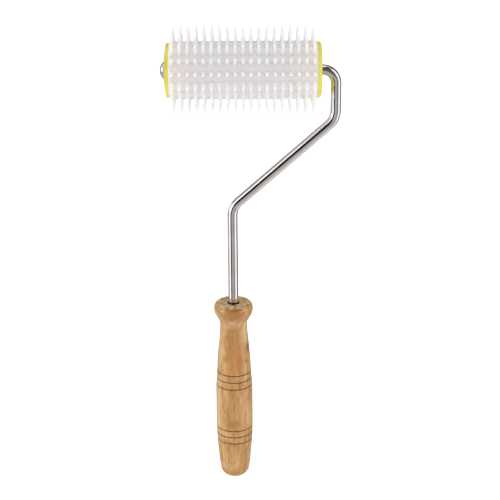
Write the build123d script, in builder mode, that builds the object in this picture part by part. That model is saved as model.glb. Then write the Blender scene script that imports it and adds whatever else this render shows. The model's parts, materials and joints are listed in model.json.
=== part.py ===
from build123d import *
import math
import os

# Uncapping needle roller for honeycomb: a hollow roller with rows of plastic needles turns on the
# cranked end of a round stainless bar, and the other end of the bar is glued into a turned wooden
# handle.  Millimetres.  +Z runs up the handle towards the roller, +X runs along the roller towards
# the arm of the bar, and -Y is the front.  The origin is the middle of the handle's grip.

# ---- Driving dimensions ---------------------------------------------------------------------
# Roller
AXLE_Z = 258.0              # height of the roller's axis above the middle of the grip
ROLLER_X = 8.6              # the roller's middle, to the right of the handle's axis
SLEEVE_HALF = 51.1
SLEEVE_OUTER_R = 20.0
SLEEVE_INNER_R = 17.0
SLEEVE_EDGE = 0.4

# Needles: rings of them along the roller, set at the pitch of worker comb
NEEDLE_RINGS = 19
NEEDLE_PITCH = 5.4
NEEDLE_ROWS = 18
FIRST_ROW_ANGLE = 6.4       # of one row above the front, at rest
NEEDLE_LENGTH = 10.6
NEEDLE_ROOT_R = 1.46
NEEDLE_TIP_R = 0.82
NEEDLE_FOOT_R = 1.85
NEEDLE_FLARE_START = -0.2   # heights on a needle are from the sleeve's surface
NEEDLE_FLARE_END = 0.7
NEEDLE_SINK = 1.0

# Round bar: axle, elbow, arm, diagonal, leg and tang in one piece
BAR_R = 3.6
AXLE_END = 55.3             # from the roller's middle to the bar's outer end
ARM_X = 73.1
ARM_CORNER_Z = 222.4        # where the arm's and the diagonal's centre lines cross
LEG_CORNER_Z = 157.4        # where the diagonal's and the leg's centre lines cross
TANG_DEPTH = 62.0
ELBOW_R = 9.5
BEND_R = 14.0
BAR_CHAMFER = 0.6
COLLAR_R = 5.0
COLLAR_LENGTH = 1.5

# End caps
BORE_CLEARANCE = 0.08       # radial, between a cap's hub and the axle
HUB_R = 8.4
HUB_START = 38.8            # distances of a cap are from the roller's middle
SPIGOT_START = 42.8
SPIGOT_WALL = 1.8
WEB_FACE = 50.6
RIB_COUNT = 6
RIB_WIDTH = 1.6
RIB_START = 44.8
OUTER_CAP_R = 18.75
OUTER_CAP_FACE = 55.15
OUTER_CAP_CROWN = 1.9
OUTER_RECESS_R = 6.25
OUTER_RECESS_FLOOR = 50.9
INNER_CAP_R = 19.45
INNER_CAP_FACE = 54.0
INNER_CAP_ROUND = 2.7
INNER_RECESS_R = 7.6
INNER_RECESS_FLOOR = 51.5

# Washers and the push-on dome that closes the axle's end
END_FLOAT = 0.25            # along the axle, between each thrust washer and its recess
OUTER_WASHER_R = 6.0
OUTER_WASHER_THICKNESS = 0.8
INNER_WASHER_R = 7.1
INNER_WASHER_THICKNESS = 1.0
DOME_SKIRT_R = 5.85
DOME_SPHERE_R = 8.0
DOME_WALL = 0.5
DOME_TIP = 57.85
LOCK_WASHER_THICKNESS = 0.5
LOCK_WASHER_OFFSET = 0.45
LOCK_SLOT_COUNT = 6
LOCK_SLOT_WIDTH = 0.9
LOCK_SLOT_R = 4.6

# Handle
HANDLE_TOP_Z = 83.4
HANDLE_TOP_FLAT_R = 11.8
RIM_R = 14.3
RIM_Z = 78.9
NECK_R = 10.0
NECK_Z = 66.0
GRIP_R = 13.7
GRIP_HALF = 13.0
TAIL_R = 11.1
TAIL_Z = -52.5
BUTT_Z = -60.5
MOUTH_R = 4.4
MOUTH_DEPTH = 5.0
HOLE_SPARE = 2.0            # of the hole below the tang
GROOVE_R = 0.5
GROOVE_PITCH = 5.45
GROOVE_GROUP_Z = 22.9       # of the middle groove of each group of three, above and below

AXLE = Axis((0, 0, AXLE_Z), (1, 0, 0))
OUTER = -1
INNER = 1


def section_plane(side):
    """Half-section of the roller: x outwards from its middle on the given side, y away from its axis."""
    return Plane(origin=(ROLLER_X, 0, AXLE_Z), x_dir=(side, 0, 0), z_dir=(0, -side, 0))


def cross_plane(side, distance):
    """Plane across the axle at a distance from the roller's middle, facing outwards on the given side."""
    return Plane(origin=(ROLLER_X + side * distance, 0, AXLE_Z), x_dir=(0, -1, 0), z_dir=(side, 0, 0))


def save(part, name):
    part.label = name
    export_step(part, f"parts/{name}.step")


# ---- Roller -----------------------------------------------------------------------------------
def make_needle():
    """One needle along +X from the sleeve's surface, with a flared foot and a rounded tip."""
    with BuildPart() as needle:
        with BuildSketch(Plane.XY):
            with BuildLine():
                foot = Polyline(
                    (NEEDLE_LENGTH, 0),
                    (-NEEDLE_SINK, 0),
                    (-NEEDLE_SINK, NEEDLE_FOOT_R),
                    (NEEDLE_FLARE_START, NEEDLE_FOOT_R),
                )
                flare = TangentArc(foot @ 1, (NEEDLE_FLARE_END, NEEDLE_ROOT_R), tangent=(1, -1.2))
                flank = Line(flare @ 1, (NEEDLE_LENGTH - NEEDLE_TIP_R, NEEDLE_TIP_R))
                RadiusArc(flank @ 1, (NEEDLE_LENGTH, 0), NEEDLE_TIP_R)
            make_face()
        revolve(axis=Axis.X)
    return needle.part


def make_needle_sleeve():
    """Moulded tube with all its needles, open at both ends for the caps' spigots."""
    needle = make_needle()
    first_ring = -(NEEDLE_RINGS - 1) / 2 * NEEDLE_PITCH
    rings = [cross_plane(INNER, first_ring + i * NEEDLE_PITCH) for i in range(NEEDLE_RINGS)]
    with BuildPart() as needle_sleeve:
        with BuildSketch(cross_plane(INNER, -SLEEVE_HALF)):
            Circle(SLEEVE_OUTER_R)
            Circle(SLEEVE_INNER_R, mode=Mode.SUBTRACT)
        extrude(amount=2 * SLEEVE_HALF)
        chamfer(needle_sleeve.edges().filter_by(GeomType.CIRCLE), SLEEVE_EDGE)
        with Locations(*rings):
            with PolarLocations(SLEEVE_OUTER_R, NEEDLE_ROWS, start_angle=-FIRST_ROW_ANGLE):
                add(needle)
    return needle_sleeve.part


def make_end_cap(side, recess_r, recess_floor):
    """End cap with hub, web, spigot and ribs: a low dome on the outer side, flat with a round rim on the inner."""
    bore_r = BAR_R + BORE_CLEARANCE
    spigot_inner_r = SLEEVE_INNER_R - SPIGOT_WALL
    with BuildPart() as end_cap:
        with BuildSketch(section_plane(side)):
            with BuildLine():
                if side == OUTER:
                    recess_mouth = cap_crown(recess_r)
                    ThreePointArc(cap_crown(OUTER_CAP_R), cap_crown(OUTER_CAP_R / 2), recess_mouth)
                    rim = [(SLEEVE_HALF, OUTER_CAP_R), cap_crown(OUTER_CAP_R)]
                else:
                    recess_mouth = (INNER_CAP_FACE, recess_r)
                    rim = [(SLEEVE_HALF, INNER_CAP_R), (INNER_CAP_FACE, INNER_CAP_R), recess_mouth]
                Polyline(
                    recess_mouth,
                    (recess_floor, recess_r),
                    (recess_floor, bore_r),
                    (HUB_START, bore_r),
                    (HUB_START, HUB_R),
                    (WEB_FACE, HUB_R),
                    (WEB_FACE, spigot_inner_r),
                    (SPIGOT_START, spigot_inner_r),
                    (SPIGOT_START, SLEEVE_INNER_R),
                    (SLEEVE_HALF, SLEEVE_INNER_R),
                    *rim,
                )
            make_face()
        revolve(axis=AXLE)
        if side == INNER:
            rim_edge = end_cap.edges().filter_by(GeomType.CIRCLE).group_by(Axis.X)[-1].sort_by(SortBy.RADIUS)[-1]
            fillet(rim_edge, INNER_CAP_ROUND)
        with BuildSketch(cross_plane(side, RIB_START)):
            with PolarLocations((HUB_R + spigot_inner_r) / 2, RIB_COUNT):
                Rectangle(spigot_inner_r - HUB_R + 1.0, RIB_WIDTH)
        extrude(amount=WEB_FACE - RIB_START + 0.5)
    return end_cap.part


def cap_crown(radius):
    """Point of the outer cap's shallow dome at a radius."""
    return (OUTER_CAP_FACE - OUTER_CAP_CROWN * (radius / OUTER_CAP_R) ** 2, radius)


# ---- Bar, washers and dome -----------------------------------------------------------------------
def make_frame_rod():
    """Round bar bent from axle to tang, with an upset collar behind the inner washer."""
    collar_start = INNER_RECESS_FLOOR + END_FLOAT + INNER_WASHER_THICKNESS
    with BuildPart() as frame_rod:
        with BuildLine() as route:
            FilletPolyline(
                (ROLLER_X - AXLE_END, 0, AXLE_Z),
                (ARM_X, 0, AXLE_Z),
                (ARM_X, 0, ARM_CORNER_Z),
                (0, 0, LEG_CORNER_Z),
                (0, 0, HANDLE_TOP_Z - TANG_DEPTH),
                radius=[ELBOW_R, BEND_R, BEND_R],
            )
        with BuildSketch(cross_plane(INNER, -AXLE_END)):
            Circle(BAR_R)
        sweep(path=route.line)
        ends = frame_rod.edges().filter_by(GeomType.CIRCLE)
        chamfer([ends.sort_by(Axis.X)[0], ends.sort_by(Axis.Z)[0]], BAR_CHAMFER)
        with BuildSketch(cross_plane(INNER, collar_start)):
            Circle(COLLAR_R)
        extrude(amount=COLLAR_LENGTH)
        fillet(frame_rod.edges().filter_by(lambda edge: is_circle(edge, COLLAR_R)), BAR_CHAMFER)
    return frame_rod.part


def is_circle(edge, radius):
    return edge.geom_type == GeomType.CIRCLE and abs(edge.radius - radius) < 1e-6


def make_thrust_washer(side, distance, outer_r, thickness):
    with BuildPart() as thrust_washer:
        with BuildSketch(cross_plane(side, distance)):
            Circle(outer_r)
            Circle(BAR_R, mode=Mode.SUBTRACT)
        extrude(amount=thickness)
    return thrust_washer.part


def make_axle_dome_cap(skirt_start):
    """Thin pressed cap: a skirt in the outer recess and a spherical crown over the axle's end."""
    centre = DOME_TIP - DOME_SPHERE_R
    inner_skirt_r = DOME_SKIRT_R - DOME_WALL
    inner_sphere_r = DOME_SPHERE_R - DOME_WALL
    with BuildPart() as axle_dome_cap:
        with BuildSketch(section_plane(OUTER)):
            with BuildLine():
                outside = [on_sphere(centre, DOME_SPHERE_R, r) for r in (DOME_SKIRT_R, DOME_SKIRT_R / 2, 0)]
                inside = [on_sphere(centre, inner_sphere_r, r) for r in (0, inner_skirt_r / 2, inner_skirt_r)]
                ThreePointArc(*outside)
                Line(outside[-1], inside[0])
                ThreePointArc(*inside)
                Polyline(inside[-1], (skirt_start, inner_skirt_r), (skirt_start, DOME_SKIRT_R), outside[0])
            make_face()
        revolve(axis=AXLE)
    return axle_dome_cap.part


def on_sphere(centre, sphere_r, radius):
    return (centre + math.sqrt(sphere_r**2 - radius**2), radius)


def make_axle_lock_washer(distance):
    """Toothed spring washer that grips the axle and holds the dome."""
    with BuildPart() as axle_lock_washer:
        with BuildSketch(cross_plane(OUTER, distance)):
            Circle(DOME_SKIRT_R - DOME_WALL)
            Circle(BAR_R, mode=Mode.SUBTRACT)
            with PolarLocations((BAR_R + LOCK_SLOT_R) / 2, LOCK_SLOT_COUNT):
                Rectangle(LOCK_SLOT_R - BAR_R + 0.4, LOCK_SLOT_WIDTH, mode=Mode.SUBTRACT)
        extrude(amount=LOCK_WASHER_THICKNESS)
    return axle_lock_washer.part


# ---- Handle ---------------------------------------------------------------------------------------
def make_handle():
    """Turned handle: bead at the top, neck, swelling grip, tapering tail, six burnt grooves and the tang's hole."""
    groove_heights = [
        side * GROOVE_GROUP_Z + step * GROOVE_PITCH for side in (1, -1) for step in (-1, 0, 1)
    ]
    with BuildPart() as handle:
        with BuildSketch(Plane.XZ):
            with BuildLine():
                Line((0, HANDLE_TOP_Z), (HANDLE_TOP_FLAT_R, HANDLE_TOP_Z))
                EllipticalCenterArc(
                    (HANDLE_TOP_FLAT_R, RIM_Z), RIM_R - HANDLE_TOP_FLAT_R, HANDLE_TOP_Z - RIM_Z, 0, arc_size=90
                )
                Spline(
                    (RIM_R, RIM_Z), (14.0, 76.1), (12.45, 73.0), (10.85, 70.0), (NECK_R, NECK_Z),
                    tangents=((0, -1), (0, -1)),
                )
                belly = Spline(
                    (NECK_R, NECK_Z), (10.9, 53.0), (12.3, 36.0), (13.15, 22.0), (GRIP_R, GRIP_HALF),
                    tangents=((0, -1), (0, -1)),
                )
                Line((GRIP_R, GRIP_HALF), (GRIP_R, -GRIP_HALF))
                tail = Spline(
                    (GRIP_R, -GRIP_HALF), (13.4, -27.0), (12.25, -42.0), (TAIL_R, TAIL_Z),
                    tangents=((0, -1), (-0.17, -1)),
                )
                Spline(
                    (TAIL_R, TAIL_Z), (10.2, -56.6), (7.8, -59.3), (0, BUTT_Z),
                    tangents=((-0.17, -1), (-1, 0)),
                )
                Line((0, BUTT_Z), (0, HANDLE_TOP_Z))
            make_face()
        revolve(axis=Axis.Z)
        with BuildSketch(Plane.XZ):
            for height in groove_heights:
                curve = belly if height > 0 else tail
                with Locations((radius_at(curve, height), height)):
                    Circle(GROOVE_R)
        revolve(axis=Axis.Z, mode=Mode.SUBTRACT)
        with Locations(Plane.XY.offset(HANDLE_TOP_Z)):
            CounterBoreHole(BAR_R, MOUTH_R, MOUTH_DEPTH, TANG_DEPTH + HOLE_SPARE)
    return handle.part


def radius_at(curve, height):
    """Radius of a falling outline curve at a height, by halving."""
    low, high = 0.0, 1.0
    for _ in range(40):
        middle = (low + high) / 2
        if (curve @ middle).Z > height:
            low = middle
        else:
            high = middle
    return (curve @ low).X


# ---- Pieces ------------------------------------------------------------------------------------------
outer_washer_start = OUTER_RECESS_FLOOR + END_FLOAT
outer_washer_end = outer_washer_start + OUTER_WASHER_THICKNESS
inner_washer_start = INNER_RECESS_FLOOR + END_FLOAT

os.makedirs("parts", exist_ok=True)
save(make_handle(), "handle")
save(make_frame_rod(), "frame_rod")
save(make_needle_sleeve(), "needle_sleeve")
save(make_end_cap(OUTER, OUTER_RECESS_R, OUTER_RECESS_FLOOR), "outer_end_cap")
save(make_end_cap(INNER, INNER_RECESS_R, INNER_RECESS_FLOOR), "inner_end_cap")
save(
    make_thrust_washer(OUTER, outer_washer_start, OUTER_WASHER_R, OUTER_WASHER_THICKNESS),
    "outer_thrust_washer",
)
save(
    make_thrust_washer(INNER, inner_washer_start, INNER_WASHER_R, INNER_WASHER_THICKNESS),
    "inner_thrust_washer",
)
save(make_axle_dome_cap(outer_washer_end), "axle_dome_cap")
save(make_axle_lock_washer(outer_washer_end + LOCK_WASHER_OFFSET), "axle_lock_washer")
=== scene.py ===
import json
import math

import bpy
from mathutils import Matrix, Vector


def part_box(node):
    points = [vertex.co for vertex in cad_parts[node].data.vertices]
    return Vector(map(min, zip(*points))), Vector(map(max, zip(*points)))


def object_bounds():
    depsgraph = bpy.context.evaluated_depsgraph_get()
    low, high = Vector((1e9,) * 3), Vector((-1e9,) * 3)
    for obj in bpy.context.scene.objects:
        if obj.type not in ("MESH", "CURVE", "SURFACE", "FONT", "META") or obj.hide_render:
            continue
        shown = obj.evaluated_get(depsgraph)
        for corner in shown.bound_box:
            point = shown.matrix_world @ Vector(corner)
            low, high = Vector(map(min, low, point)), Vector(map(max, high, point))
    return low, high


# The looks of a honeycomb uncapping roller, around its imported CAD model.  Metres, +Z up the handle,
# +X along the roller towards the arm of the bar, -Y the front.

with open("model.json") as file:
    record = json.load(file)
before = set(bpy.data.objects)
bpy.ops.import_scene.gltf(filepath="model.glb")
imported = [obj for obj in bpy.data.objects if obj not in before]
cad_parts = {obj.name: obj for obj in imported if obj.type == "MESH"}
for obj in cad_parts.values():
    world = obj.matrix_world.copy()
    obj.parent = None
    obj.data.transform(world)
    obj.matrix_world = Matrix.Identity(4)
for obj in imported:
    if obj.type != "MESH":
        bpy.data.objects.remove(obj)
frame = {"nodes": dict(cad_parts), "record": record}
cad_low, cad_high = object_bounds()
centre = (cad_low + cad_high) / 2

MM = 0.001

# ---- Camera --------------------------------------------------------------------------------------
CAMERA_TILT = math.radians(21.0)    # looking down
CAMERA_ROLL = math.radians(0.35)
CAMERA_DISTANCE = 0.971
CAMERA_LENS = 96.0                  # in millimetres, as is the sensor
CAMERA_SENSOR = 36.0
CAMERA_CLIP_START = 0.05
CAMERA_CLIP_END = 30.0
AIM_ABOVE_CENTRE = 10.5 * MM
AIM_LEFT_OF_CENTRE = 1.22 * MM

# ---- Places and sizes of the roller and the handle -----------------------------------------------
NEEDLE_LENGTH = 10.6 * MM
SPIGOT_LENGTH = 8.3 * MM            # of the part of each cap that lies inside the sleeve
WARM_REACH = 2.4 * SPIGOT_LENGTH    # how far from each end the spigot's yellow shows in the sleeve

sleeve_low, sleeve_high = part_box("needle_sleeve")
cap_low, cap_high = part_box("outer_end_cap")
handle_low, handle_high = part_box("handle")
SLEEVE_MIDDLE_X = (sleeve_low.x + sleeve_high.x) / 2
SLEEVE_HALF = (sleeve_high.x - sleeve_low.x) / 2
SLEEVE_R = (sleeve_high.z - sleeve_low.z) / 2 - NEEDLE_LENGTH
AXLE_Z = (cap_low.z + cap_high.z) / 2
HANDLE_MIDDLE_Z = (handle_low.z + handle_high.z) / 2

# ---- Marks on the handle -------------------------------------------------------------------------
# Burnt grooves: two groups of three, each group's middle groove this far above and below the origin
GROOVE_GROUP_Z = 22.9 * MM
GROOVE_PITCH = 5.45 * MM
GROOVE_HALF_WIDTH = 0.40 * MM

# Painted shade in the hole that the bar stands in and on its lip, reaching a little further at the front
MOUTH_RADIUS = 4.4 * MM
SHADED_LIP_SHIFT = 0.7 * MM
SHADED_LIP_REACH = 4.9 * MM

# Growth rings of the handle's wood
PITH_X = 14.0 * MM
PITH_Y = 46.0 * MM
RING_WIDTH = 2.6 * MM
RING_WANDER = 9.0 * MM

END_GRAIN_STRENGTH = 0.70           # how much of the end grain's own colour shows on the ends
TONE_OFFSET = -0.35                 # brings the sum of the wood's patterns into its colour ramp

HEARTWOOD = (0.50, 0.215, 0.045)
# Sapwood tone, and also painted side light along the handle's edges
SAPWOOD_AND_SIDE_LIGHT = (0.80, 0.56, 0.33)
KNOT = (0.15, 0.075, 0.030)
HIGHLIGHT = (0.86, 0.660, 0.400)
FLECK = (0.28, 0.12, 0.030)
FIBRE = (0.34, 0.16, 0.050)
BURNT_GROOVE = (0.075, 0.016, 0.0003)
# Painted shade for the hole that the bar stands in
PAINTED_MOUTH_SHADE = (0.028, 0.013, 0.004)

# Coloured places in the wood, stains and painted side light and highlights: middle and reach in
# millimetres, strength and colour
STAINS_AND_PAINTED_LIGHT = [
    ((0.5, -12.0, 46.0), (8.0, 8.0, 26.0), 0.75, HEARTWOOD),
    ((4.5, -11.0, 35.0), (2.2, 5.0, 15.0), 0.60, (0.43, 0.150, 0.028)),
    ((1.0, -13.0, 79.0), (11.0, 7.0, 6.5), 0.95, (0.40, 0.165, 0.038)),
    ((3.0, -12.6, 82.3), (8.0, 2.6, 1.3), 0.85, (0.27, 0.095, 0.020)),
    ((-6.0, -10.0, 73.5), (7.0, 5.0, 1.3), 0.50, (0.36, 0.250, 0.150)),
    ((-10.0, -1.0, 83.0), (3.5, 6.0, 4.0), 0.80, (0.40, 0.160, 0.035)),
    ((3.0, -14.0, -34.0), (1.8, 5.0, 20.0), 0.35, (0.45, 0.180, 0.045)),
    ((0.5, -14.0, 0.0), (5.5, 6.0, 20.0), 0.40, (0.47, 0.225, 0.070)),
    ((0.0, -5.0, -57.0), (13.0, 11.0, 9.0), 0.85, (0.46, 0.200, 0.045)),
    ((6.3, -12.0, -10.0), (2.2, 5.0, 44.0), 0.45, (0.50, 0.250, 0.075)),
    ((6.5, -8.5, 40.0), (3.5, 5.0, 9.0), 0.45, (0.45, 0.200, 0.060)),
    ((8.5, -5.0, 61.0), (3.5, 6.0, 11.0), 0.65, (0.70, 0.510, 0.250)),
    # Painted side light: paler patches down the left side
    ((-9.5, -6.0, 50.0), (4.0, 6.0, 20.0), 0.60, (0.77, 0.500, 0.230)),
    ((-11.5, -6.0, 75.0), (4.5, 6.0, 5.0), 0.60, (0.72, 0.530, 0.280)),
    # Painted highlights on the front of the rim
    ((-8.0, -11.0, 81.0), (3.0, 2.5, 1.0), 0.42, HIGHLIGHT),
    ((7.5, -11.0, 81.5), (2.0, 2.5, 1.0), 0.38, HIGHLIGHT),
    ((-1.0, -9.0, 69.0), (12.0, 7.0, 4.5), 0.25, SAPWOOD_AND_SIDE_LIGHT),
    # Painted side light along the left and right edges, stronger on the left
    ((-13.0, -5.0, 2.0), (5.0, 9.0, 34.0), 0.50, SAPWOOD_AND_SIDE_LIGHT),
    ((13.0, -5.0, 2.0), (4.5, 8.0, 24.0), 0.20, SAPWOOD_AND_SIDE_LIGHT),
    ((10.6, -4.5, 49.0), (1.9, 3.5, 4.5), 0.65, KNOT),
    ((9.0, -7.5, 39.0), (1.5, 2.5, 2.2), 0.70, KNOT),
]


# ---- Node helpers --------------------------------------------------------------------------------
class Shader:
    """A material's node tree, with object coordinates at its start and a Principled BSDF at its end."""

    def __init__(self, name, **settings):
        self.material = bpy.data.materials.new(name)
        self.material.use_nodes = True
        self.tree = self.material.node_tree
        self.bsdf = self.tree.nodes["Principled BSDF"]
        for socket, value in settings.items():
            self.bsdf.inputs[socket.replace("_", " ")].default_value = value
        self.coordinates = self.node("ShaderNodeTexCoord").outputs["Object"]

    def node(self, kind, inputs=(), **properties):
        made = self.tree.nodes.new(kind)
        for key, value in properties.items():
            setattr(made, key, value)
        for socket, value in dict(inputs).items():
            self.feed(made.inputs[socket], value)
        return made

    def feed(self, socket, value):
        """Links an output to a socket, or sets the socket to a value."""
        if isinstance(value, bpy.types.NodeSocket):
            self.tree.links.new(value, socket)
        else:
            socket.default_value = value

    def axis(self, name):
        return self.node("ShaderNodeSeparateXYZ", {0: self.coordinates}).outputs[name]

    def math(self, operation, first, second=0.0, third=0.0):
        made = self.node("ShaderNodeMath", {0: first, 1: second, 2: third}, operation=operation)
        return made.outputs[0]

    def distance(self, across, along):
        """Distance from the origin of two measures at right angles."""
        squares = self.math("MULTIPLY_ADD", along, along, self.math("MULTIPLY", across, across))
        return self.math("SQRT", squares)

    def ragged(self, value, noise, amount):
        """The value, shifted by noise up to half the amount each way."""
        return self.math("ADD", value, self.math("MULTIPLY_ADD", noise, amount, -amount / 2))

    def fade(self, value, start, end):
        """1 up to the start, falling to 0 at the end, whichever of the two is larger."""
        inputs = {"Value": value, "From Min": start, "From Max": end, "To Min": 1.0, "To Max": 0.0}
        return self.node("ShaderNodeMapRange", inputs).outputs[0]

    def noise(
        self,
        scale,
        stretch=(1.0, 1.0, 1.0),
        detail=2.0,
        roughness=0.5,
        distortion=0.0,
        shift=(0.0, 0.0, 0.0),
    ):
        """Noise from 0 to 1.  The scale is per metre, and the stretch multiplies it along each axis."""
        mapping = {"Vector": self.coordinates, "Scale": stretch, "Location": shift}
        inputs = {
            "Vector": self.node("ShaderNodeMapping", mapping).outputs[0],
            "Scale": scale,
            "Detail": detail,
            "Roughness": roughness,
            "Distortion": distortion,
        }
        return self.node("ShaderNodeTexNoise", inputs).outputs["Fac"]

    def ramp(self, factor, *stops):
        """Colour or grey ramp through (position, value) stops."""
        made = self.node("ShaderNodeValToRGB", {"Fac": factor})
        elements = made.color_ramp.elements
        while len(elements) < len(stops):
            elements.new(0.5)
        for element, (position, value) in zip(elements, stops):
            element.position = position
            element.color = (*value, 1.0) if isinstance(value, tuple) else (value, value, value, 1.0)
        return made.outputs["Color"]

    def mix(self, factor, first, second):
        """The first colour at a factor of 0 and the second at 1.  Each is an output or a plain colour."""
        made = self.node("ShaderNodeMix", data_type="RGBA")
        colours = [socket for socket in made.inputs if socket.type == "RGBA"]
        self.feed(made.inputs["Factor"], factor)
        self.feed(colours[0], as_colour(first))
        self.feed(colours[1], as_colour(second))
        return next(socket for socket in made.outputs if socket.type == "RGBA")

    def bump(self, height, strength, distance, normal=None):
        inputs = {"Height": height, "Strength": strength, "Distance": distance}
        if normal is not None:
            inputs["Normal"] = normal
        return self.node("ShaderNodeBump", inputs).outputs["Normal"]

    def finish(self, colour, roughness, normal):
        self.feed(self.bsdf.inputs["Base Color"], colour)
        self.feed(self.bsdf.inputs["Roughness"], roughness)
        self.feed(self.bsdf.inputs["Normal"], normal)
        return self.material


def as_colour(value):
    """Gives a plain colour its alpha, and leaves an output as it is."""
    return (*value, 1.0) if isinstance(value, tuple) else value


# ---- Wood ----------------------------------------------------------------------------------------
def wood_material():
    """Waxed pale hardwood: growth rings, blotches, mottling, streaks, stains, knots and burnt grooves,
    with painted side light and highlights, and painted shade in the bar's hole.
    """
    shader = Shader("turned_wood", Specular_IOR_Level=0.5, Coat_Weight=0.22, Coat_Roughness=0.22)
    blotches = shader.noise(48.0, stretch=(1.0, 1.0, 0.40), detail=5.0, roughness=0.6, distortion=0.8)
    streaks = shader.noise(
        260.0,
        stretch=(1.0, 1.0, 0.07),
        detail=4.0,
        roughness=0.62,
        distortion=0.3,
        shift=(0.3, 0.0, 0.0),
    )
    fibres = shader.noise(1500.0, stretch=(1.0, 1.0, 0.03))
    flecks = shader.noise(620.0, stretch=(1.0, 1.0, 0.10), detail=1.0, shift=(0.1, 0.2, 0.0))
    mottling = shader.noise(
        330.0,
        stretch=(1.0, 1.0, 0.55),
        detail=3.0,
        roughness=0.6,
        distortion=0.4,
        shift=(0.5, 0.1, 0.0),
    )
    wander = shader.noise(
        170.0,
        stretch=(1.0, 1.0, 0.6),
        detail=4.0,
        roughness=0.65,
        shift=(0.7, 0.4, 0.15),
    )
    rings = ring_pattern(shader, blotches)

    tone = TONE_OFFSET
    for pattern, share in ((blotches, 0.62), (rings, 0.36), (mottling, 0.38), (streaks, 0.27)):
        tone = shader.math("MULTIPLY_ADD", pattern, share, tone)
    colour = shader.ramp(
        tone,
        (0.34, (0.36, 0.165, 0.040)),
        (0.47, (0.53, 0.283, 0.087)),
        (0.58, (0.630, 0.374, 0.141)),
        (0.70, (0.725, 0.470, 0.208)),
    )
    # Stains, and painted side light and highlights, each laid over the colour in turn
    for middle, reach, strength, stain_and_light_colour in STAINS_AND_PAINTED_LIGHT:
        mask = stain_and_light_mask(shader, middle, reach, wander)
        colour = shader.mix(shader.math("MULTIPLY", mask, strength), colour, stain_and_light_colour)
    colour = shader.mix(shader.ramp(flecks, (0.60, 0.0), (0.72, 0.50)), colour, FLECK)
    colour = shader.mix(shader.ramp(fibres, (0.32, 0.24), (0.58, 0.0)), colour, FIBRE)
    end_grain = shader.ramp(
        mottling,
        (0.38, (0.30, 0.14, 0.045)),
        (0.48, (0.53, 0.34, 0.175)),
        (0.60, (0.74, 0.55, 0.33)),
    )
    colour = shader.mix(end_grain_mask(shader, wander), colour, end_grain)
    colour = shader.mix(groove_mask(shader), colour, BURNT_GROOVE)
    # Painted shade in the hole that the bar stands in and on its lip
    colour = shader.mix(painted_mouth_shade_mask(shader), colour, PAINTED_MOUTH_SHADE)

    roughness = shader.ramp(fibres, (0.3, 0.50), (0.7, 0.36))
    normal = shader.bump(fibres, strength=0.35, distance=0.12 * MM)
    normal = shader.bump(streaks, strength=0.25, distance=0.3 * MM, normal=normal)
    return shader.finish(colour, roughness, normal)


def ring_pattern(shader, wander):
    """Grey that changes with the distance from the pith: bands along the handle, arcs on its ends."""
    across = shader.math("SUBTRACT", shader.axis("X"), PITH_X)
    along = shader.math("SUBTRACT", shader.axis("Y"), PITH_Y)
    radius = shader.math("MULTIPLY_ADD", wander, RING_WANDER, shader.distance(across, along))
    inputs = {"W": radius, "Scale": 1.0 / RING_WIDTH, "Detail": 2.0, "Roughness": 0.6}
    return shader.node("ShaderNodeTexNoise", inputs, noise_dimensions="1D").outputs["Fac"]


def stain_and_light_mask(shader, middle, reach, wander):
    """1 in the middle, falling to 0 at the reach in millimetres along each axis, with a ragged edge."""
    scale = [1.0 / (size * MM) for size in reach]
    shift = [-at / size for at, size in zip(middle, reach)]
    mapping = {"Vector": shader.coordinates, "Scale": scale, "Location": shift}
    local = shader.node("ShaderNodeMapping", mapping).outputs[0]
    away = shader.node("ShaderNodeVectorMath", {0: local}, operation="LENGTH").outputs["Value"]
    return shader.fade(shader.ragged(away, wander, amount=1.6), start=0.45, end=1.10)


def end_grain_mask(shader, wander):
    """Above 0 where the surface faces up or down, with a ragged edge."""
    geometry = shader.node("ShaderNodeNewGeometry")
    facing = shader.node("ShaderNodeSeparateXYZ", {0: geometry.outputs["Normal"]}).outputs["Z"]
    steep = shader.math("MULTIPLY_ADD", wander, 0.5, shader.math("ABSOLUTE", facing))
    return shader.math("MULTIPLY", shader.fade(steep, start=1.20, end=0.85), END_GRAIN_STRENGTH)


def groove_mask(shader):
    """1 in the burnt grooves, falling to 0 beside them."""
    height = shader.math("ABSOLUTE", shader.axis("Z"))
    steps = shader.math("DIVIDE", shader.math("SUBTRACT", height, GROOVE_GROUP_Z), GROOVE_PITCH)
    in_group = shader.math("MAXIMUM", shader.math("MINIMUM", steps, 1.0), -1.0)
    nearest = shader.math("ROUND", in_group)
    steps_away = shader.math("ABSOLUTE", shader.math("SUBTRACT", steps, nearest))
    away = shader.math("MULTIPLY", steps_away, GROOVE_PITCH / GROOVE_HALF_WIDTH)
    return shader.fade(shader.ragged(away, shader.noise(420.0), amount=0.7), start=0.70, end=1.15)


def painted_mouth_shade_mask(shader):
    """1 inside the hole that the bar stands in and on its lip, where shade is painted."""
    across = shader.math("DIVIDE", shader.axis("X"), MOUTH_RADIUS)
    along = shader.math("DIVIDE", shader.math("ADD", shader.axis("Y"), SHADED_LIP_SHIFT), SHADED_LIP_REACH)
    inside = shader.fade(shader.distance(across, along), start=1.00, end=1.08)
    upper_half = shader.math("GREATER_THAN", shader.axis("Z"), HANDLE_MIDDLE_Z)
    return shader.math("MULTIPLY", inside, upper_half)


# ---- Metal and plastic ---------------------------------------------------------------------------
def bar_material():
    """Polished stainless bar with faint drawing lines and soft clouding."""
    shader = Shader("polished_bar", Metallic=1.0)
    clouds = shader.noise(120.0, detail=3.0)
    scratches = shader.noise(2600.0, stretch=(1.0, 1.0, 0.05))
    colour = shader.ramp(clouds, (0.3, (0.70, 0.685, 0.675)), (0.7, (0.79, 0.78, 0.775)))
    roughness = shader.ramp(clouds, (0.3, 0.05), (0.7, 0.10))
    normal = shader.bump(scratches, strength=0.10, distance=0.02 * MM)
    return shader.finish(colour, roughness, normal)


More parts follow.
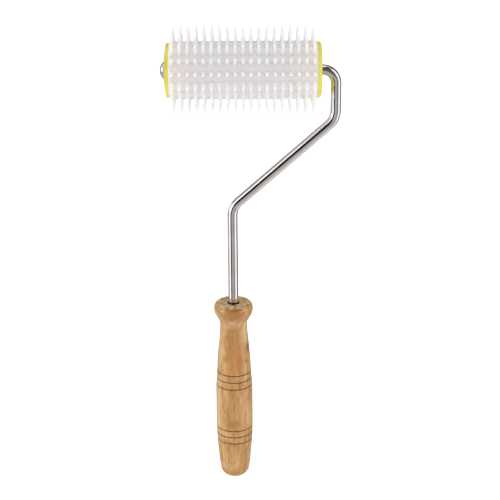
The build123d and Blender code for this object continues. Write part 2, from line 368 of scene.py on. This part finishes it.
def sleeve_material():
    """Milky plastic, warmed at the ends by the yellow spigots behind it, with painted light that makes
    the needles paler than the body, palest at their tips.
    """
    shader = Shader(
        "needle_plastic",
        Subsurface_Weight=0.75,
        Subsurface_Radius=(1.0, 0.96, 0.94),
        Subsurface_Scale=2.5 * MM,
        Specular_IOR_Level=0.24,
        IOR=1.49,
    )
    clouds = shader.noise(90.0, detail=3.0)
    grain = shader.noise(1800.0)
    body = shader.ramp(clouds, (0.3, (0.786, 0.775, 0.772)), (0.7, (0.816, 0.805, 0.802)))

    above_axle = shader.math("SUBTRACT", shader.axis("Z"), AXLE_Z)
    above_body = shader.math("SUBTRACT", shader.distance(above_axle, shader.axis("Y")), SLEEVE_R)
    up_needle = shader.math("DIVIDE", above_body, NEEDLE_LENGTH)
    from_middle = shader.math("ABSOLUTE", shader.math("SUBTRACT", shader.axis("X"), SLEEVE_MIDDLE_X))
    from_end = shader.math("DIVIDE", shader.math("SUBTRACT", SLEEVE_HALF, from_middle), WARM_REACH)

    from_end = shader.ragged(from_end, clouds, amount=0.3)
    warmth = shader.ramp(from_end, (0.0, 0.30), (0.25, 0.50), (1.0, 0.04))
    warmth = shader.math("MULTIPLY", warmth, shader.fade(up_needle, start=0.02, end=0.30))
    colour = shader.mix(warmth, body, (0.90, 0.79, 0.71))
    # Painted light: one plastic painted paler up the needles than on the body between them, palest at the
    # tips
    painted_needle_light = shader.ramp(up_needle, (0.04, 0.0), (0.20, 0.42), (0.70, 0.60), (0.92, 1.0))
    colour = shader.mix(painted_needle_light, colour, (0.930, 0.923, 0.937))

    roughness = shader.ramp(grain, (0.3, 0.26), (0.7, 0.36))
    normal = shader.bump(grain, strength=0.12, distance=0.05 * MM)
    return shader.finish(colour, roughness, normal)


def cap_material():
    """Yellow moulded plastic with a satin skin."""
    shader = Shader(
        "cap_plastic",
        Subsurface_Weight=0.2,
        Subsurface_Radius=(1.0, 0.8, 0.2),
        Subsurface_Scale=1.5 * MM,
        IOR=1.49,
    )
    clouds = shader.noise(160.0, detail=3.0)
    grain = shader.noise(2200.0)
    colour = shader.ramp(clouds, (0.3, (0.73, 0.635, 0.065)), (0.7, (0.80, 0.71, 0.105)))
    roughness = shader.ramp(grain, (0.3, 0.28), (0.7, 0.38))
    normal = shader.bump(grain, strength=0.15, distance=0.05 * MM)
    return shader.finish(colour, roughness, normal)


def dome_material():
    """Bright plated steel with a few polishing marks."""
    shader = Shader("dome_plating", Metallic=1.0)
    marks = shader.noise(700.0, stretch=(1.0, 0.2, 1.0), detail=3.0)
    colour = shader.ramp(marks, (0.3, (0.76, 0.76, 0.77)), (0.7, (0.84, 0.84, 0.85)))
    roughness = shader.ramp(marks, (0.35, 0.05), (0.7, 0.13))
    normal = shader.bump(marks, strength=0.08, distance=0.02 * MM)
    return shader.finish(colour, roughness, normal)


def washer_material():
    """Plain stamped steel, brushed along Y."""
    shader = Shader("washer_steel", Metallic=1.0)
    brushing = shader.noise(1500.0, stretch=(1.0, 0.06, 1.0))
    colour = shader.ramp(brushing, (0.3, (0.50, 0.49, 0.48)), (0.7, (0.62, 0.61, 0.60)))
    roughness = shader.ramp(brushing, (0.3, 0.28), (0.7, 0.42))
    normal = shader.bump(brushing, strength=0.2, distance=0.03 * MM)
    return shader.finish(colour, roughness, normal)


def dress_nodes():
    """Gives each CAD node the material of its slot in the record."""
    materials = {
        "turned_wood": wood_material(),
        "polished_bar": bar_material(),
        "needle_plastic": sleeve_material(),
        "cap_plastic": cap_material(),
        "dome_plating": dome_material(),
        "washer_steel": washer_material(),
    }
    for subpart in frame["record"]["subparts"]:
        node = frame["nodes"][subpart["node"]]
        for slot in node.material_slots:
            slot.material = materials[subpart["material_slot"]]


# ---- Studio --------------------------------------------------------------------------------------
FLOOR_SIZE = 12.0
FLOOR_GREY = (0.30, 0.30, 0.30, 1.0)
FLOOR_GLOW = 0.93                   # most of the floor's white, so that it stays even

# The white sky, a little stronger from below, as over a white table
SKY_LEVEL = 1.13                    # at the horizon
SKY_SLOPE = 0.30                    # how much weaker it is straight up, and stronger straight down

# Soft lights: place from the middle of the object, and watts
LIGHT_SIZE = (0.9, 1.2)
LIGHTS = {
    "light_left": ((-1.2, -0.25, 0.4), 2.0),
    "light_right": ((1.2, -0.25, 0.4), 1.2),
}

# What the cards glow with, from the brightest to the darkest
WHITE = (1.45, 1.45, 1.45)
PALE = (0.78, 0.76, 0.75)
WARM_GREY = (0.52, 0.49, 0.475)
GREY = (0.40, 0.39, 0.38)
DIM = (0.13, 0.115, 0.11)
SHADE = (0.09, 0.083, 0.08)
BLACK = (0.01, 0.008, 0.008)

# Cards on a sphere round the object, which only reflections see: azimuths from the front to the
# right and elevations, in degrees.  The dark stretches between the softboxes draw the lines that
# polished bar shows.
CARD_RADIUS = 3.0
CARD_STEP = 4                       # degrees between the points of a card
CARDS = {
    "floor_nadir": (-180, 180, -89, -72, GREY),
    "floor_steep": (-180, 30, -72, -36, WARM_GREY),
    "floor_steep_right": (30, 180, -72, -36, PALE),
    "softbox_left": (-84, -50, -36, 48, WHITE),
    "softbox_left_edge": (-94, -84, -36, 48, PALE),
    "softbox_rear_left": (-122, -94, -6, 18, WHITE),
    "floor_rear_left": (-145, -94, -36, -16, WARM_GREY),
    "wall_rear_left": (-122, -94, -16, -6, GREY),
    "room_rear_left": (-122, -94, 18, 48, GREY),
    "room_far_left": (-145, -122, -16, 48, GREY),
    "gap_left": (-50, -25, -36, -3, BLACK),
    "gap_left_high": (-50, -15, -3, 48, BLACK),
    "floor_front": (-25, 25, -36, -3, WARM_GREY),
    "room_front": (-15, 25, -3, 48, DIM),
    "gap_right_low": (25, 38, -36, -17, DIM),
    "gap_right": (25, 42, -17, 48, SHADE),
    "softbox_right_edge_low": (38, 64, -36, -17, PALE),
    "softbox_right_edge": (42, 64, -17, 48, PALE),
    "softbox_right": (64, 98, -36, 48, WHITE),
    "gap_rear_right": (98, 140, -36, 48, SHADE),
    "room_rear": (140, 215, -36, 48, DIM),
    "ceiling_gap_front": (-60, 60, 48, 72, BLACK),
    "ceiling_gap_rear": (60, 300, 48, 72, GREY),
    "softbox_top": (-180, 180, 72, 89, WHITE),
}


def stage_mesh(name, points, faces, material):
    mesh = bpy.data.meshes.new(name)
    mesh.from_pydata(points, [], faces)
    mesh.materials.append(material)
    made = bpy.data.objects.new(name, mesh)
    bpy.context.scene.collection.objects.link(made)
    return made


def make_floor():
    material = bpy.data.materials.new("studio_floor")
    material.use_nodes = True
    bsdf = material.node_tree.nodes["Principled BSDF"]
    bsdf.inputs["Base Color"].default_value = FLOOR_GREY
    bsdf.inputs["Roughness"].default_value = 0.9
    bsdf.inputs["Emission Color"].default_value = (1.0, 1.0, 1.0, 1.0)
    bsdf.inputs["Emission Strength"].default_value = FLOOR_GLOW
    half = FLOOR_SIZE / 2
    corners = [(-half, -half), (half, -half), (half, half), (-half, half)]
    points = [(x, y, cad_low.z) for x, y in corners]
    floor = stage_mesh("studio_floor", points, [(0, 1, 2, 3)], material)
    floor.visible_glossy = False
    floor.visible_diffuse = False


def glow_material(name, colour):
    material = bpy.data.materials.new(name)
    material.use_nodes = True
    nodes = material.node_tree.nodes
    nodes.clear()
    glow = nodes.new("ShaderNodeEmission")
    glow.inputs["Color"].default_value = (*colour, 1.0)
    output = nodes.new("ShaderNodeOutputMaterial")
    material.node_tree.links.new(glow.outputs[0], output.inputs["Surface"])
    return material


def card_point(azimuth, elevation):
    """Point of the cards' sphere, from angles in degrees."""
    turn = math.radians(azimuth)
    rise = math.radians(elevation)
    level = math.cos(rise)
    away = Vector((level * math.sin(turn), -level * math.cos(turn), math.sin(rise)))
    return centre + away * CARD_RADIUS


def make_card(name, left, right, low, high, colour):
    """Patch of the cards' sphere, between two azimuths and two elevations."""
    columns = round((right - left) / CARD_STEP)
    rows = round((high - low) / CARD_STEP)
    points = []
    for i in range(columns + 1):
        for j in range(rows + 1):
            azimuth = left + (right - left) * i / columns
            points.append(card_point(azimuth, low + (high - low) * j / rows))
    faces = []
    for i in range(columns):
        for j in range(rows):
            corner = i * (rows + 1) + j
            faces.append((corner, corner + rows + 1, corner + rows + 2, corner + 1))
    card = stage_mesh(name, points, faces, glow_material(name, colour))
    card.visible_camera = False
    card.visible_diffuse = False
    card.visible_transmission = False
    card.visible_volume_scatter = False
    card.visible_shadow = False


def make_light(name, place, watts):
    """Soft area light aimed at the middle of the object."""
    data = bpy.data.lights.new(name, "AREA")
    data.shape = "RECTANGLE"
    data.size, data.size_y = LIGHT_SIZE
    data.energy = watts
    light = bpy.data.objects.new(name, data)
    light.location = centre + Vector(place)
    light.rotation_euler = (-Vector(place)).to_track_quat("-Z", "Y").to_euler()
    light.visible_camera = False
    light.visible_glossy = False
    bpy.context.scene.collection.objects.link(light)


def make_sky():
    """White world that weakens from straight down to straight up.  Reflections don't see it."""
    world = bpy.data.worlds.new("studio_world")
    world.use_nodes = True
    tree = world.node_tree
    direction = tree.nodes.new("ShaderNodeTexCoord")
    split = tree.nodes.new("ShaderNodeSeparateXYZ")
    strength = tree.nodes.new("ShaderNodeMath")
    strength.operation = "MULTIPLY_ADD"
    strength.inputs[1].default_value = -SKY_SLOPE
    strength.inputs[2].default_value = SKY_LEVEL
    tree.links.new(direction.outputs["Generated"], split.inputs[0])
    tree.links.new(split.outputs["Z"], strength.inputs[0])
    tree.links.new(strength.outputs[0], tree.nodes["Background"].inputs["Strength"])
    tree.nodes["Background"].inputs["Color"].default_value = (1.0, 1.0, 1.0, 1.0)
    world.cycles_visibility.glossy = False
    bpy.context.scene.world = world


def make_camera():
    data = bpy.data.cameras.new("camera")
    data.lens = CAMERA_LENS
    data.sensor_width = CAMERA_SENSOR
    data.clip_start = CAMERA_CLIP_START
    data.clip_end = CAMERA_CLIP_END
    camera = bpy.data.objects.new("camera", data)
    forward = Vector((0, math.cos(CAMERA_TILT), -math.sin(CAMERA_TILT)))
    level_up = Vector((0, math.sin(CAMERA_TILT), math.cos(CAMERA_TILT)))
    right = Vector((1, 0, 0)) * math.cos(CAMERA_ROLL) - level_up * math.sin(CAMERA_ROLL)
    up = right.cross(forward)
    aim = Vector((centre.x - AIM_LEFT_OF_CENTRE, 0, centre.z + AIM_ABOVE_CENTRE))
    turn = Matrix((right, up, -forward)).transposed().to_4x4()
    camera.matrix_world = Matrix.Translation(aim - forward * CAMERA_DISTANCE) @ turn
    bpy.context.scene.collection.objects.link(camera)
    bpy.context.scene.camera = camera


# ---- Scene ---------------------------------------------------------------------------------------
make_camera()
make_sky()
for light_name, light in LIGHTS.items():
    make_light(light_name, *light)
make_floor()
for card_name, card in CARDS.items():
    make_card(card_name, *card)
dress_nodes()
bpy.context.scene.view_settings.view_transform = "Standard"
